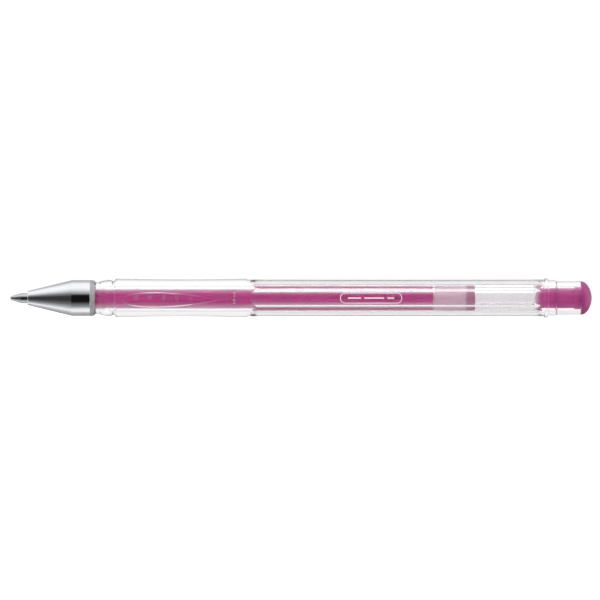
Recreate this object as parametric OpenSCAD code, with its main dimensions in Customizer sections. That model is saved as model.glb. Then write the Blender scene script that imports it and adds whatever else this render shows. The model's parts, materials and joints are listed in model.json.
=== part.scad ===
// Capped gel pen without its cap: clear barrel, plated nose cone, gel refill.
// The pen lies along X with the writing point towards -X. Two corners of its
// hexagonal barrel point up and down. The origin is on the axis, at mid length.

/* [Ball and point] */
// Diameter of the rolling ball
ball_d = 0.7; // [0.5:0.1:1]
// How far the ball stands out of its socket
ball_out = 0.2; // [0.14:0.01:0.24]
// How far the ball can be pressed back against the spring
ball_press = 0.04; // [0.02:0.01:0.06]
// Outside diameter of the socket's lip
lip_d = 0.95; // [0.8:0.05:1.3]
// Diameter of the steel point
point_d = 2.4; // [2:0.1:3]
// Length of the taper from the lip to the full diameter
point_taper_l = 2.54; // [2:0.1:4]
// Length of the point's cylinder in front of the nose cone
point_out_l = 1.58; // [0.5:0.1:3]
// Length of the point pressed into its holder
point_grip_l = 3; // [2:0.1:4]
// Bore of the spring chamber in the point
chamber_d = 1.24; // [1.1:0.02:1.5]

/* [Nose cone] */
// Diameter of the cone's front edge
cone_front_d = 3.5; // [3.3:0.1:4]
// Length of the tapering part
cone_taper_l = 10.75; // [9.5:0.25:14]
// Diameter of the cylindrical part
cone_d = 8.78; // [8.6:0.02:8.84]
// Length of the cylindrical part
cone_cyl_l = 4.51; // [4.3:0.1:6]
// Wall of the cone outside its thread
cone_wall = 0.45; // [0.35:0.05:0.5]

/* [Barrel joint] */
// Length of the threaded nose of the barrel
nose_l = 4.28; // [4:0.1:5]
// Pitch of the screw thread
thread_pitch = 1; // [0.8:0.05:1.2]
// Height of the thread
thread_h = 0.3; // [0.2:0.05:0.35]
// Diameter of the barrel's front flange
front_flange_d = 8.74; // [8.6:0.02:8.8]
// Diameter of the neck behind the front flange
neck_d = 7.8; // [7.6:0.1:8.2]
// Diameter of the ridge that the cap snaps over
ridge_d = 8.9; // [8.86:0.02:9.1]
// Distance from the cone to the grip
neck_zone_l = 6.12; // [6:0.1:8]

/* [Grip and hexagon] */
// Diameter at both ends of the grip
grip_d = 9.43; // [9.3:0.05:10.5]
// Diameter at the waist of the grip
grip_waist_d = 9.08; // [8.8:0.05:9.3]
// Length of the grip
grip_l = 32.35; // [28:0.5:42]
// Depth of the leaf pressed into the grip
leaf_depth = 0.1; // [0.05:0.01:0.15]
// Diameter of the hexagon across its rounded corners
hex_corner_d = 9.05; // [8.8:0.05:9.3]
// Width of the hexagon across its flats
hex_flat_d = 8; // [7.9:0.05:8.3]
// Length of the hexagonal stretch
hex_l = 72.25; // [55:0.5:90]
// Length over which each flat runs out at its ends
flat_run_l = 2.1; // [1.5:0.1:4]

/* [Rear end] */
// Diameter of the rear flange
rear_flange_d = 9.6; // [9.5:0.05:10.5]
// Length of the rear flange
rear_flange_l = 1; // [0.8:0.1:2]
// Diameter of the collar behind the flange
collar_d = 8.67; // [8.4:0.05:9]
// Length of the collar
collar_l = 1.95; // [1.5:0.05:3]
// Diameter of the spigot that carries the posted cap
spigot_d = 8.23; // [8:0.01:8.36]
// Length of the spigot
spigot_l = 6; // [5:0.1:9]
// Length of the domed head of the end plug
plug_head_l = 2.75; // [2.2:0.05:4]
// Reach of the plug's stem ahead of the collar
plug_reach = 3.2; // [0.5:0.1:6]

/* [Refill] */
// Outside diameter of the refill tube
tube_d = 5.2; // [4.6:0.1:5.6]
// Wall of the refill tube
tube_wall = 0.5; // [0.35:0.05:0.6]
// Clear space round the refill tube in the barrel
tube_gap = 0.55; // [0.4:0.05:0.6]
// Clear space round the refill tube in the barrel's nose
nose_gap = 0.15; // [0.1:0.05:0.2]
// Share of the tube behind the point holder that is filled with ink
ink_share = 0.778; // [0.5:0.001:0.84]
// Length of the follower, to the rim of its meniscus
follower_l = 10.15; // [6:0.25:14]

/* [Hidden] */
$fn = 96;
eps = 0.01;

// Clearances
ball_fit = 0.01;
turn_fit = 0.05;
thread_fit = 0.08;
flank_fit = 0.1;
slide_fit = 0.02;

// Stations along the axis, from the ball's front to the end of the plug
total_l = ball_out + point_taper_l + point_out_l + cone_taper_l + cone_cyl_l + neck_zone_l
    + grip_l + hex_l + rear_flange_l + collar_l + spigot_l + plug_head_l;
x_front = -total_l / 2;
x_lip = x_front + ball_out;
x_point = x_lip + point_taper_l;
x_cone = x_point + point_out_l;
x_cone_cyl = x_cone + cone_taper_l;
x_joint = x_cone_cyl + cone_cyl_l;
x_grip = x_joint + neck_zone_l;
x_hex = x_grip + grip_l;
x_rear_flange = x_hex + hex_l;
x_collar = x_rear_flange + rear_flange_l;
x_spigot = x_collar + collar_l;
x_plug_head = x_spigot + spigot_l;

// Radii that fit one piece to the next
tube_r = tube_d / 2;
tube_bore_r = tube_r - tube_wall;
bore_r = tube_r + tube_gap;
nose_bore_r = tube_r + nose_gap;
female_root_r = cone_d / 2 - cone_wall;
female_crest_r = female_root_r - thread_h;
male_crest_r = female_root_r - thread_fit;
male_root_r = female_crest_r - thread_fit;

// Point holder: a sleeve on the point, a collar clamped by the cone, a stem in the tube
collar_lip = 0.45;
holder_collar_r = nose_bore_r + collar_lip;
holder_collar_l = 2.3;
sleeve_wall = 0.75;
sleeve_r = point_d / 2 + sleeve_wall;
sleeve_l = 5;
stem_l = 4;
stem_bore_r = 0.8;
x_nose = x_joint - nose_l;
x_seat = x_nose - holder_collar_l;
x_sleeve = x_seat - sleeve_l;
x_point_rear = x_sleeve + point_grip_l;
x_stem_end = x_nose + stem_l;
x_plug_front = x_collar - plug_reach;
x_tube_end = x_plug_front - 0.8;
x_ink_end = x_stem_end + ink_share * (x_tube_end - x_stem_end);

// Check ball and its chamber in the holder
check_ball_r = 0.65;
check_room_r = 0.8;
check_hole_r = 0.35;
check_front_wall = 0.4;
check_room_l = 2;
x_check_room = x_point_rear + check_front_wall;
x_check_seat = x_check_room + check_room_l;
x_check_hole = x_check_seat + check_room_r - check_hole_r;
x_check_ball = x_check_room + check_ball_r + slide_fit;

// Ball, spring and pin
ball_r = ball_d / 2;
socket_r = ball_r + ball_fit;
capillary_r = 0.2;
capillary_l = 2.2;
wire_r = 0.08;
coil_r = 0.42;
coil_turns = 13;
pin_gap = 0.005;
x_ball = x_front + ball_r;
x_spring_room = x_lip + capillary_l + 0.5;

// End plug
plug_stem_r = bore_r - 0.65;
plug_ring_w = 0.4;
plug_shoulder_r = bore_r - 0.4;
plug_shoulder_l = 1.65;
plug_head_r = spigot_d / 2 - 0.02;
plug_rim_l = 0.3;
dome_power = 1.8;

// Outline of one half of the leaf, rounded in front and pointed behind
leaf_l = 0.742 * grip_l;
leaf_h = 1.75;
leaf_z = -0.45;
leaf_from_grip = 0.053 * grip_l;
leaf_steps = 14;
function leaf_half(t) = leaf_h * 2.6 * sqrt(t) * (1 - t);

// A solid of revolution about the pen's axis, from points [radius, x]
module lathe(points) {
    rotate([0, 90, 0])
        rotate_extrude()
            polygon(points);
}

// A round bar about the pen's axis
module bar(x0, x1, r) {
    translate([x0, 0, 0])
        rotate([0, 90, 0])
            cylinder(h = x1 - x0, r = r);
}

// A round bar that tapers from r0 to r1
module taper(x0, x1, r0, r1) {
    translate([x0, 0, 0])
        rotate([0, 90, 0])
            cylinder(h = x1 - x0, r1 = r0, r2 = r1);
}

// Joins the rings of a sweep, each with the same number of points, and closes both ends
function sweep_faces(rings, sides) = concat(
    [[for (j = [sides - 1:-1:0]) j]],
    [for (i = [0:rings - 2], j = [0:sides - 1])
        let (a = i * sides + j, b = i * sides + (j + 1) % sides)
        each [[a, b, a + sides], [b, b + sides, a + sides]]],
    [[for (j = [0:sides - 1]) (rings - 1) * sides + j]]
);

// A right-handed helical ridge: its foot at radius foot_r, its top at radius top_r.
// Both ends fade down to the foot. Every ridge on one pitch runs through x = origin_x.
thread_steps = 24;
module helix_ridge(origin_x, x0, x1, foot_r, top_r, foot_w, top_w) {
    count = ceil((x1 - x0) / thread_pitch * thread_steps);
    fade = thread_steps / 2;
    rings = [for (i = [0:count])
        let (x = x0 + (x1 - x0) * i / count,
             a = -360 * (x - origin_x) / thread_pitch,
             k = min(1, i / fade, (count - i) / fade),
             r = foot_r + (top_r - foot_r) * max(0.05, k))
        [[x - foot_w / 2, foot_r], [x - top_w / 2, r], [x + top_w / 2, r], [x + foot_w / 2, foot_r]]];
    angles = [for (i = [0:count]) -360 * (x0 + (x1 - x0) * i / count - origin_x) / thread_pitch];
    points = [for (i = [0:count], p = rings[i]) [p[0], p[1] * sin(angles[i]), p[1] * cos(angles[i])]];
    polyhedron(points, sweep_faces(count + 1, 4), convexity = 10);
}

// Round part of the barrel: threaded nose, flange, neck, cap ridge, waisted grip,
// hexagon blank, rear flange, collar and spigot
module barrel_blank() {
    ridge_x = x_grip - 1.5;
    ridge_land = 0.6;
    grip_edge = 0.25;
    waist_steps = 12;
    waist = grip_d - grip_waist_d;
    waist_l = grip_l - 2 * grip_edge - 0.4;
    grip_points = [for (i = [0:waist_steps])
        let (t = i / waist_steps)
        [grip_d / 2 - waist / 2 * 4 * t * (1 - t), x_grip + grip_edge + waist_l * t]];
    lathe(concat(
        [[0, x_nose], [male_root_r - 0.15, x_nose], [male_root_r, x_nose + 0.15],
         [male_root_r, x_joint], [front_flange_d / 2, x_joint],
         [front_flange_d / 2, x_joint + 0.55], [front_flange_d / 2 - 0.12, x_joint + 0.95],
         [neck_d / 2, x_joint + 1.25], [neck_d / 2, x_joint + 2.3],
         [neck_d / 2 + 0.2, x_joint + 2.6],
         [ridge_d / 2 - 0.12, ridge_x - ridge_land / 2 - 0.7],
         [ridge_d / 2, ridge_x - ridge_land / 2], [ridge_d / 2, ridge_x + ridge_land / 2],
         [ridge_d / 2 - 0.2, x_grip - 0.75], [ridge_d / 2 - 0.25, x_grip - 0.3],
         [ridge_d / 2 + 0.01, x_grip], [grip_d / 2 - 0.1, x_grip]],
        grip_points,
        [[grip_d / 2 - 0.15, x_hex - 0.1], [hex_corner_d / 2, x_hex], [0, x_hex]]
    ));
    lathe([
        [0, x_rear_flange - eps], [rear_flange_d / 2 - 0.15, x_rear_flange - eps],
        [rear_flange_d / 2, x_rear_flange + 0.2], [rear_flange_d / 2, x_collar - 0.2],
        [rear_flange_d / 2 - 0.15, x_collar], [collar_d / 2, x_collar],
        [collar_d / 2, x_spigot - 0.1], [collar_d / 2 - 0.1, x_spigot],
        [spigot_d / 2, x_spigot], [spigot_d / 2, x_plug_head], [0, x_plug_head]
    ]);
}

// Hexagonal stretch: a round bar with six flats that run out at both ends
module hexagon_bar() {
    corner_r = hex_corner_d / 2;
    flat_r = hex_flat_d / 2;
    depth = corner_r - flat_r;
    start = x_hex + 0.5;
    end = x_rear_flange - 0.05;
    difference() {
        bar(x_hex - eps, x_rear_flange, corner_r);
        for (k = [0:5])
            rotate([60 * k, 0, 0])
                linear_extrude(height = 3 * corner_r, center = true)
                    polygon([
                        [start - flat_run_l, corner_r + depth], [start + flat_run_l, flat_r],
                        [end - flat_run_l, flat_r], [end + flat_run_l, corner_r + depth]
                    ]);
    }
}

// Leaf pressed into the front of the grip
module leaf_recess() {
    upper = [for (i = [0:leaf_steps]) let (t = i / leaf_steps) [leaf_l * t, leaf_half(t)]];
    lower = [for (i = [leaf_steps - 1:-1:1]) let (t = i / leaf_steps) [leaf_l * t, -leaf_half(t)]];
    difference() {
        translate([x_grip + leaf_from_grip, 0, leaf_z])
            rotate([90, 0, 0])
                linear_extrude(height = grip_d)
                    polygon(concat(upper, lower));
        bar(x_grip, x_hex, grip_waist_d / 2 - leaf_depth);
    }
}

// One clear moulding from the threaded nose to the rear spigot
module barrel() {
    bore_step_x = x_grip - 2.3;
    thread_x0 = x_nose + 0.6;
    thread_x1 = x_joint - 0.5;
    color([0.9, 0.9, 0.92, 0.35])
        difference() {
            union() {
                barrel_blank();
                hexagon_bar();
                helix_ridge(x_joint, thread_x0, thread_x1, male_root_r - 0.05, male_crest_r,
                    thread_h + 0.2, thread_h - 0.1);
            }
            bar(x_nose - 1, bore_step_x + eps, nose_bore_r);
            taper(bore_step_x, bore_step_x + bore_r - nose_bore_r, nose_bore_r, bore_r);
            bar(bore_step_x + bore_r - nose_bore_r - eps, x_plug_head + 1, bore_r);
            leaf_recess();
        }
}

// Plated nose cone with a seat for the refill and an internal thread
module nose_cone() {
    groove_x0 = x_nose + 0.2;
    thread_bore_x = x_nose - 0.25;
    color([0.78, 0.79, 0.82])
        difference() {
            lathe([
                [0, x_cone], [cone_front_d / 2 - 0.1, x_cone], [cone_front_d / 2, x_cone + 0.15],
                [cone_d / 2, x_cone_cyl], [cone_d / 2, x_joint - 0.1], [cone_d / 2 - 0.1, x_joint],
                [0, x_joint]
            ]);
            bar(x_cone - 1, x_sleeve, point_d / 2 + turn_fit);
            bar(x_sleeve - 0.1, x_seat + eps, sleeve_r + turn_fit);
            bar(x_seat, thread_bore_x + eps, holder_collar_r + turn_fit);
            bar(thread_bore_x, x_joint + 1, female_crest_r);
            helix_ridge(x_joint, groove_x0, x_joint + 0.8, female_crest_r - 0.05, female_root_r,
                thread_h + 0.2 + 2 * flank_fit, thread_h - 0.1 + 2 * flank_fit);
        }
}

// Pink plug: domed head, stem, press ring and shoulder in the barrel's bore
module end_plug() {
    dome_steps = 10;
    dome_l = plug_head_l - plug_rim_l;
    dome = [for (i = [0:dome_steps])
        let (a = 90 * i / dome_steps,
             t = sin(a),
             r = plug_head_r * pow(max(0, 1 - pow(t, dome_power)), 1 / dome_power))
        [r, x_plug_head + plug_rim_l + dome_l * t]];
    color([0.66, 0.24, 0.5])
        lathe(concat(
            [[0, x_plug_front], [plug_stem_r - 0.9, x_plug_front], [plug_stem_r - 0.3, x_plug_front + 0.3],
             [plug_stem_r, x_plug_front + 0.9],
             [plug_stem_r, x_spigot - plug_ring_w / 2], [bore_r, x_spigot - plug_ring_w / 2],
             [bore_r, x_spigot + plug_ring_w / 2], [plug_stem_r, x_spigot + plug_ring_w / 2],
             [plug_stem_r, x_plug_head - plug_shoulder_l],
             [plug_shoulder_r, x_plug_head - plug_shoulder_l], [plug_shoulder_r, x_plug_head],
             [plug_head_r, x_plug_head]],
            dome
        ));
}

// Translucent refill tube, open at its rear end
module refill_tube() {
    color([0.88, 0.86, 0.88, 0.5])
        difference() {
            bar(x_nose, x_tube_end, tube_r);
            bar(x_nose - 1, x_tube_end + 1, tube_bore_r);
        }
}

// Plastic connector between the point and the tube, with the check ball's chamber
module point_holder() {
    color([0.92, 0.92, 0.9])
        difference() {
            union() {
                bar(x_sleeve, x_seat + eps, sleeve_r);
                bar(x_seat, x_nose, holder_collar_r);
                bar(x_nose - eps, x_stem_end, tube_bore_r);
            }
            bar(x_sleeve - 1, x_point_rear, point_d / 2);
            bar(x_point_rear - eps, x_check_room + eps, check_hole_r);
            translate([x_check_room - 0.2, -check_room_r, -check_hole_r / 2])
                cube([0.4, 2 * check_room_r, check_hole_r]);
            bar(x_check_room, x_check_seat, check_room_r);
            taper(x_check_seat - eps, x_check_hole, check_room_r, check_hole_r);
            bar(x_check_hole - eps, x_nose, check_hole_r);
            bar(x_nose - eps, x_stem_end + 1, stem_bore_r);
        }
}

// Turned steel point with the ball's socket, the capillary and the spring chamber
module point_tip() {
    color([0.7, 0.71, 0.74])
        difference() {
            lathe([
                [0, x_lip], [lip_d / 2, x_lip], [point_d / 2, x_point],
                [point_d / 2, x_point_rear - 0.1], [point_d / 2 - 0.1, x_point_rear],
                [0, x_point_rear]
            ]);
            translate([x_ball, 0, 0])
                sphere(r = socket_r);
            bar(x_ball, x_ball + ball_press + ball_fit, socket_r);
            translate([x_ball + ball_press + ball_fit, 0, 0])
                sphere(r = socket_r);
            bar(x_ball, x_spring_room, capillary_r);
            bar(x_spring_room - eps, x_point_rear + 1, chamber_d / 2);
        }
}

// Rolling ball in the socket
module ball() {
    color([0.45, 0.46, 0.48])
        translate([x_ball, 0, 0])
            sphere(r = ball_r);
}

// Coil spring whose straight front end presses on the ball
module point_spring() {
    sides = 6;
    steps = 12;
    x_pin = x_ball + ball_r + pin_gap;
    x_coil = x_spring_room + 0.5;
    lead = (x_point_rear - wire_r - x_coil) / coil_turns;
    function turn(i) = i / steps;
    function radius(i) = coil_r * min(1, i / steps);
    function path(i) = i < 0
        ? [x_pin + (x_coil - x_pin) * (i + 2) / 2, 0, 0]
        : [x_coil + lead * turn(i), radius(i) * sin(360 * turn(i)), radius(i) * cos(360 * turn(i))];
    function way(i) = path(i + 0.5) - path(i - 0.5);
    function unit(v) = v / norm(v);
    count = coil_turns * steps;
    points = [for (i = [-2:count])
        let (along = i <= 0 ? [1, 0, 0] : unit(way(i)),
             out = [0, sin(360 * turn(max(0, i))), cos(360 * turn(max(0, i)))],
             u = unit(cross(along, out)),
             v = cross(u, along))
        for (j = [0:sides - 1])
            path(i) + wire_r * (u * cos(360 * j / sides) + v * sin(360 * j / sides))];
    color([0.75, 0.76, 0.78])
        polyhedron(points, sweep_faces(count + 3, sides), convexity = 10);
}

// Loose ball that stops the ink from running back
module check_ball() {
    color([0.7, 0.71, 0.74])
        translate([x_check_ball, 0, 0])
            sphere(r = check_ball_r);
}

// Gel ink in the holder's stem and in the tube
module ink_column() {
    color([0.63, 0.22, 0.46])
        union() {
            bar(x_nose, x_stem_end + eps, stem_bore_r);
            bar(x_stem_end, x_ink_end, tube_bore_r);
        }
}

// Clear grease that follows the ink, with a hollow meniscus behind
module follower_gel() {
    follower_r = tube_bore_r - slide_fit;
    meniscus_l = 1.7;
    rim_w = 0.08;
    mouth_r = follower_r - rim_w;
    bowl_r = (mouth_r * mouth_r + meniscus_l * meniscus_l) / (2 * meniscus_l);
    x_rim = x_ink_end + follower_l;
    color([0.86, 0.7, 0.78, 0.7])
        difference() {
            bar(x_ink_end, x_rim, follower_r);
            translate([x_rim - meniscus_l + bowl_r, 0, 0])
                sphere(r = bowl_r);
        }
}

barrel();
nose_cone();
end_plug();
refill_tube();
point_holder();
point_tip();
ball();
point_spring();
check_ball();
ink_column();
follower_gel();
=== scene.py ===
"""Looks for the capped gel pen without its cap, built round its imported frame.

Lengths in the classes are in millimetres along the pen's axis X and across it. The writing point
looks towards -X and the pressed leaf towards -Y.
"""

import json
import logging
import math
from contextlib import contextmanager
from dataclasses import dataclass, field
from enum import Enum
from typing import Callable, Iterable, Iterator, Optional, Sequence

import bpy
import numpy as np
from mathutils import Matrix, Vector

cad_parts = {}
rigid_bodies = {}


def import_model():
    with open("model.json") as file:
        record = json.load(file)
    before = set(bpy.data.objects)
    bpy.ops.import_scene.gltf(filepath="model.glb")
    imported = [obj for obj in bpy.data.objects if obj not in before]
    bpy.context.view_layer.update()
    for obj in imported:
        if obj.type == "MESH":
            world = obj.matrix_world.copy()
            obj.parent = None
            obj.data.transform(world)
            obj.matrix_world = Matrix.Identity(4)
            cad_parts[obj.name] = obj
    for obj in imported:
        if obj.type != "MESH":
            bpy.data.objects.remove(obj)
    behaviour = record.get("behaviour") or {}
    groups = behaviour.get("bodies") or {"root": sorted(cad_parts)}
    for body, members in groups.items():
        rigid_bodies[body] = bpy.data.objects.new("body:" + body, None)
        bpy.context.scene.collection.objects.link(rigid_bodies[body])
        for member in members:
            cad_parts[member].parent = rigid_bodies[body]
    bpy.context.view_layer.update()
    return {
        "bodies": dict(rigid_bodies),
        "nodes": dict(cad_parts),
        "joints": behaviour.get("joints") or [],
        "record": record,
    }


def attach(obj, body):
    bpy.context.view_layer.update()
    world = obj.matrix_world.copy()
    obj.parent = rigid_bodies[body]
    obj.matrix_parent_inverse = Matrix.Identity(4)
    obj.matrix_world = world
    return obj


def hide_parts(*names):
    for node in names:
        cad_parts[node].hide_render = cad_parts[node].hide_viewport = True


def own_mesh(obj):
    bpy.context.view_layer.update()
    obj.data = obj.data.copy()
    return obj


MM = 0.001
MERGE_REACH = 0.0005 * MM
LOG = logging.getLogger("gel_pen")

Point = tuple[float, float]
Pair = tuple[float, float]
Colour = tuple[float, float, float]
Triple = tuple[float, float, float]
Socket = bpy.types.NodeSocket
Piece = bpy.types.Object

WHITE: Colour = (1.0, 1.0, 1.0)


class Slot(Enum):
    """Material slots of the record, one named for each new piece."""

    CLEAR_PLASTIC = "clear_plastic"
    PLATED_METAL = "plated_metal"
    POINT_STEEL = "point_steel"
    CARBIDE = "carbide"
    SPRING_WIRE = "spring_wire"
    PINK_PLASTIC = "pink_plastic"
    TUBE_PLASTIC = "tube_plastic"
    GEL_INK = "gel_ink"
    FOLLOWER_GREASE = "follower_grease"


class Body(Enum):
    """Bodies of the frame that the new pieces ride on."""

    BARREL = "barrel"
    REFILL = "refill"
    CONE = "cone"
    FOLLOWER = "follower"
    SPRING = "spring"
    BALL = "ball"


# ---------------------------------------------------------------- shader nodes


class NodeBench:
    """Adds and joins the nodes of one material or world.

    Args:
        tree: The node tree to work in. It is emptied first.
    """

    def __init__(self, tree: bpy.types.NodeTree) -> None:
        """Takes the tree and empties it."""
        self.tree = tree
        self.tree.nodes.clear()

    def add(self, kind: str, **settings: object) -> bpy.types.Node:
        """Adds a node and sets its properties.

        Args:
            kind: The node's type name.
            settings: Properties of the node.

        Returns:
            The new node.
        """
        node = self.tree.nodes.new(kind)
        for name, value in settings.items():
            setattr(node, name, value)
        return node

    def join(self, source: Socket, target: Socket) -> None:
        """Joins an output to an input."""
        self.tree.links.new(source, target)

    def feed(self, target: Socket, value: object) -> None:
        """Joins a socket to an input, or sets the input to a plain value."""
        if isinstance(value, Socket):
            self.join(value, target)
        else:
            target.default_value = value

    def math(self, operation: str, *values: object) -> Socket:
        """Works out one step of arithmetic.

        Args:
            operation: The Math node's operation.
            values: Sockets or numbers, in order.

        Returns:
            The result.
        """
        node = self.add("ShaderNodeMath", operation=operation)
        for place, value in zip(node.inputs, values):
            self.feed(place, value)
        return node.outputs[0]

    def inverse(self, value: Socket) -> Socket:
        """Gives 1 less a value."""
        return self.math("SUBTRACT", 1.0, value)

    def step(self, value: Socket, low: float, high: float) -> Socket:
        """Rises smoothly from 0 at low to 1 at high.

        Args:
            value: The socket to follow.
            low: Where the rise starts.
            high: Where it ends.

        Returns:
            The risen value.
        """
        node = self.add("ShaderNodeMapRange", interpolation_type="SMOOTHSTEP")
        self.feed(node.inputs["Value"], value)
        node.inputs["From Min"].default_value = low
        node.inputs["From Max"].default_value = high
        return node.outputs["Result"]

    def place(self, kind: str) -> tuple[Socket, list[Socket]]:
        """Gives a place, whole and as its three parts.

        Args:
            kind: The coordinates to take.

        Returns:
            The place, and its X, Y and Z.
        """
        whole = self.add("ShaderNodeTexCoord").outputs[kind]
        parts = self.add("ShaderNodeSeparateXYZ")
        self.join(whole, parts.inputs[0])
        return whole, list(parts.outputs)

    def ramp(self, value: Socket, stops: Sequence[tuple[float, Colour]]) -> Socket:
        """Turns a value into a colour.

        Args:
            value: The socket to follow.
            stops: Places from 0 to 1, each with its colour.

        Returns:
            The colour.
        """
        node = self.add("ShaderNodeValToRGB")
        self.feed(node.inputs["Fac"], value)
        bar = node.color_ramp.elements
        while len(bar) < len(stops):
            bar.new(0.5)
        for element, (at, colour) in zip(bar, stops):
            element.position = at
            element.color = (*colour, 1.0)
        return node.outputs["Color"]

    def combine(self, how: str, first: Socket, second: Socket) -> Socket:
        """Joins two colours whole.

        Args:
            how: The Mix node's blend type.
            first: The first colour.
            second: The second colour.

        Returns:
            The joined colour.
        """
        node = self.add("ShaderNodeMix", data_type="RGBA", blend_type=how)
        node.inputs["Factor"].default_value = 1.0
        self.join(first, node.inputs[6])
        self.join(second, node.inputs[7])
        return node.outputs[2]

    def fade(self, share: Socket, low: object, high: object) -> Socket:
        """Goes from one colour to another.

        Args:
            share: 0 for the first colour, 1 for the second.
            low: The first colour, as a socket or three parts.
            high: The second colour, as a socket or three parts.

        Returns:
            The colour between them.
        """
        node = self.add("ShaderNodeMix", data_type="RGBA")
        self.join(share, node.inputs["Factor"])
        for place, value in ((node.inputs[6], low), (node.inputs[7], high)):
            self.feed(place, value if isinstance(value, Socket) else (*value, 1.0))
        return node.outputs[2]


class FinishBench(NodeBench):
    """Builds one material round its main shader.

    Args:
        name: The material's name.
    """

    def __init__(self, name: str) -> None:
        """Makes the material, its shader and the place on the piece."""
        self.material = bpy.data.materials.new(name)
        self.material.use_nodes = True
        super().__init__(self.material.node_tree)
        self.shader = self.add("ShaderNodeBsdfPrincipled")
        output = self.add("ShaderNodeOutputMaterial")
        self.join(self.shader.outputs["BSDF"], output.inputs["Surface"])
        self.spot, (self.x, self.y, self.z) = self.place("Object")

    def put(self, name: str, value: object) -> None:
        """Feeds one of the shader's inputs."""
        self.feed(self.shader.inputs[name], value)

    def noise(self, waves: float, detail: float = 3.0, stretch: Optional[Triple] = None) -> Socket:
        """Makes a soft random pattern.

        Args:
            waves: Waves in a metre.
            detail: Finer layers on top.
            stretch: Scale of the pattern's space on each axis.

        Returns:
            Values about 0.5.
        """
        spot = self.spot
        if stretch is not None:
            mapping = self.add("ShaderNodeMapping")
            self.join(spot, mapping.inputs["Vector"])
            mapping.inputs["Scale"].default_value = stretch
            spot = mapping.outputs[0]
        node = self.add("ShaderNodeTexNoise")
        self.join(spot, node.inputs["Vector"])
        node.inputs["Scale"].default_value = waves
        node.inputs["Detail"].default_value = detail
        return node.outputs["Fac"]

    def mottle(
        self, pattern: Socket, colour: Colour, dark: float, low: float = 0.35, high: float = 0.65
    ) -> Socket:
        """Darkens a colour a little by a pattern.

        Args:
            pattern: The pattern.
            colour: The colour in its high parts.
            dark: Share of the colour left in its low parts.
            low: Where the low parts end.
            high: Where the high parts start.

        Returns:
            The uneven colour.
        """
        return self.ramp(pattern, ((low, tuple(dark * part for part in colour)), (high, colour)))

    def roughen(self, pattern: Socket, spread: float, base: float) -> None:
        """Sets the roughness to a base and a pattern's share."""
        self.put("Roughness", self.math("MULTIPLY_ADD", pattern, spread, base))

    def bump(self, height: Socket, depth: float, under: Optional[Socket] = None) -> Socket:
        """Tilts the surface by a height.

        Args:
            height: The height.
            depth: Millimetres that a height of 1 stands for.
            under: A normal to add to.

        Returns:
            The tilted normal, which the shader takes.
        """
        node = self.add("ShaderNodeBump")
        self.join(height, node.inputs["Height"])
        node.inputs["Distance"].default_value = depth * MM
        node.inputs["Strength"].default_value = 1.0
        if under is not None:
            self.join(under, node.inputs["Normal"])
        self.put("Normal", node.outputs["Normal"])
        return node.outputs["Normal"]

    def scatter(self, weight: float, depth: float, radius: Optional[Triple] = None) -> None:
        """Lets light into the surface.

        Args:
            weight: Share of the light that goes in.
            depth: How far it goes, in millimetres.
            radius: How far each colour goes, as a share of that depth.
        """
        self.put("Subsurface Weight", weight)
        self.put("Subsurface Scale", depth * MM)
        if radius is not None:
            self.put("Subsurface Radius", radius)

    def turned_away(self) -> Socket:
        """Gives 0 where the surface faces the viewer and 1 where it is edge on."""
        return self.add("ShaderNodeLayerWeight").outputs["Facing"]


# ---------------------------------------------------------------- finishes


@dataclass(frozen=True)
class PipRow:
    """A row of low round pips. The crown is the flat share of a pip's radius."""

    start: float
    pitch: float
    count: int
    radius: float
    crown: float
    height: float

    def rise(self, bench: FinishBench, along: Socket, across: Socket) -> Socket:
        """Works out the pips' height in millimetres.

        Args:
            bench: The material's bench.
            along: Place along the row in metres.
            across: Distance from the row's middle line in metres.

        Returns:
            The height, 0 between the pips.
        """
        on = bench.math("SUBTRACT", along, self.start * MM)
        begun = bench.math("GREATER_THAN", on, 0.0)
        unfinished = bench.math("LESS_THAN", on, self.pitch * self.count * MM)
        inner = bench.math("MULTIPLY", begun, unfinished)
        turn = bench.math("MODULO", on, self.pitch * MM)
        cell = bench.math("SUBTRACT", turn, 0.5 * self.pitch * MM)
        squares = [bench.math("MULTIPLY", part, part) for part in (cell, across)]
        span = bench.math("SQRT", bench.math("ADD", *squares))
        pip = bench.inverse(bench.step(span, self.crown * self.radius * MM, self.radius * MM))
        return bench.math("MULTIPLY", bench.math("MULTIPLY", pip, inner), self.height)


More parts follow.
